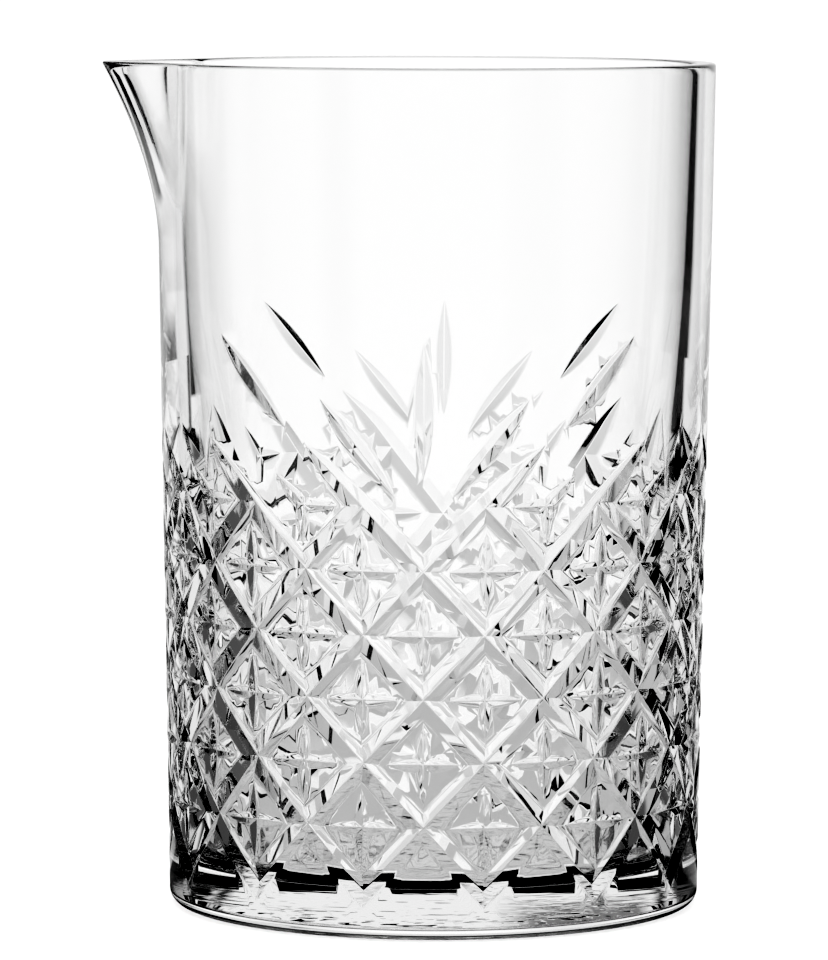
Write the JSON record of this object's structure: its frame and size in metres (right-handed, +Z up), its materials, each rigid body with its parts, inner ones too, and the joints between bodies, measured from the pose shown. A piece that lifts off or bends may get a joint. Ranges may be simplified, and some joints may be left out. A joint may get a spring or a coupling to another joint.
{
  "type": "mixing jug",
  "caption": "Straight-sided clear glass mixing jug with a thick base, a pulled pouring spout and a band of cross-cut diamonds under fans of leaf cuts.",
  "frame": {"origin": "on the jug's axis, in the plane of the flat base that it stands on", "axes": "+Z up along the jug's axis, -X towards the pouring spout, -Y towards the fan of leaf cuts that faces the camera in the picture"},
  "size_m": [0.1089, 0.0994, 0.15],
  "materials": {
    "clear_glass": "polished"
  },
  "bodies": {
    "root": {"glass_jug": "clear_glass"}
  },
  "joints": []
}
